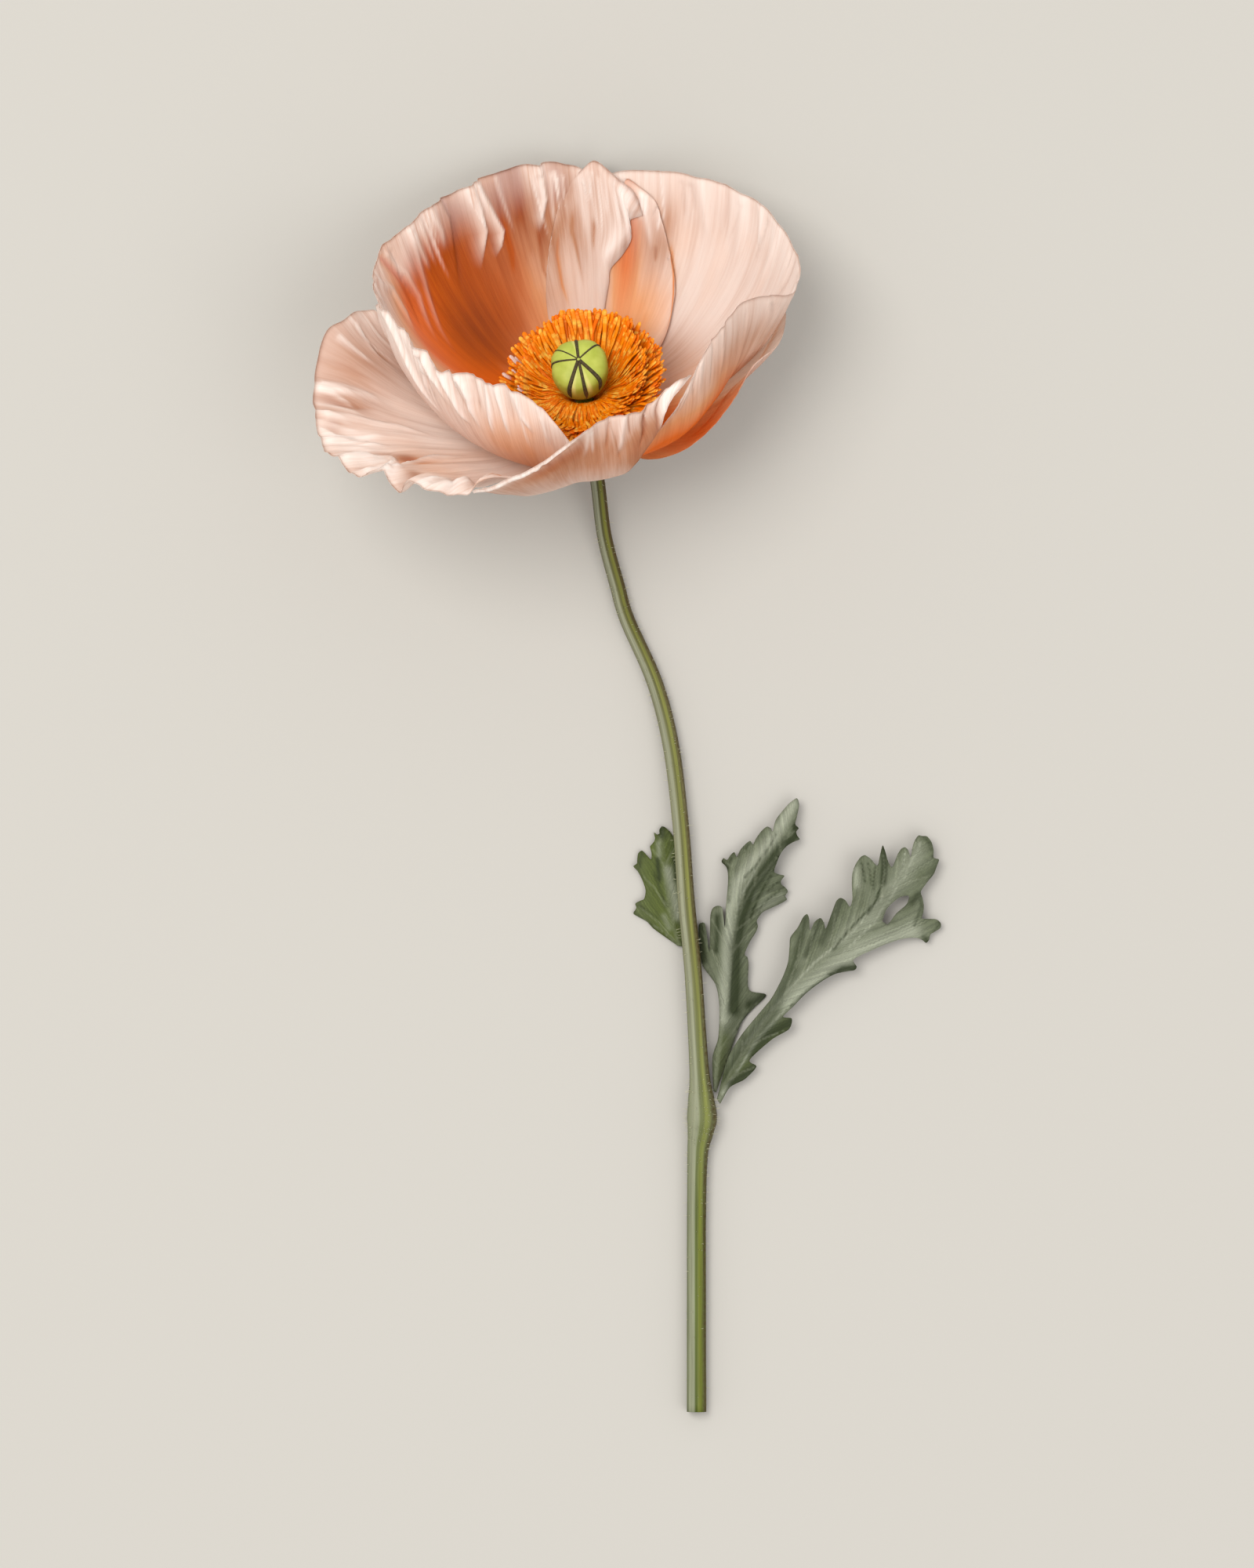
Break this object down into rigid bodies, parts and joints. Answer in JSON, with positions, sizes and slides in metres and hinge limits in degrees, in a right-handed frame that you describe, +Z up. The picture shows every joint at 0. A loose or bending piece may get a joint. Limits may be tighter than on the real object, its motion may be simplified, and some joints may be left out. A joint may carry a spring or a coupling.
{
  "type": "cut poppy flower",
  "caption": "Cut poppy lying on its side: open ruffled bloom on a curved stem with toothed leaves.",
  "frame": {"origin": "on the surface that the cut flower lies on, below the middle of the whole plant", "axes": "+Y along the stem towards the flower head, +X to the side that the leaves spread to, +Z up from the surface"},
  "size_m": [0.1268, 0.2544, 0.0613],
  "materials": {
    "petal": "matte",
    "stamen": "matte",
    "capsule": "satin",
    "stem": "satin",
    "leaf": "matte"
  },
  "bodies": {
    "root": {"stem": "stem", "leaf_right": "leaf", "leaf_middle": "leaf", "leaf_left": "leaf", "petal_back_centre": "petal", "petal_back_left": "petal", "petal_back_strip": "petal", "petal_right": "petal", "petal_left_wall": "petal", "petal_left_spread": "petal", "petal_right_outer": "petal", "petal_front": "petal", "capsule": "capsule", "stamens_outer_01": "stamen", "stamens_outer_02": "stamen", "stamens_outer_03": "stamen", "stamens_outer_04": "stamen", "stamens_outer_05": "stamen", "stamens_outer_06": "stamen", "stamens_outer_07": "stamen", "stamens_outer_08": "stamen", "stamens_outer_09": "stamen", "stamens_outer_10": "stamen", "stamens_outer_11": "stamen", "stamens_outer_12": "stamen", "stamens_outer_13": "stamen", "stamens_outer_14": "stamen", "stamens_outer_15": "stamen", "stamens_outer_16": "stamen", "stamens_outer_17": "stamen", "stamens_outer_18": "stamen", "stamens_inner_01": "stamen", "stamens_inner_02": "stamen", "stamens_inner_03": "stamen", "stamens_inner_04": "stamen", "stamens_inner_05": "stamen", "stamens_inner_06": "stamen", "stamens_inner_07": "stamen", "stamens_inner_08": "stamen", "stamens_inner_09": "stamen", "stamens_inner_10": "stamen", "stamens_inner_11": "stamen", "stamens_inner_12": "stamen", "stamens_inner_13": "stamen", "stamens_inner_14": "stamen", "stamens_inner_15": "stamen", "stamens_inner_16": "stamen", "stamens_inner_17": "stamen", "stamens_inner_18": "stamen"}
  },
  "joints": []
}
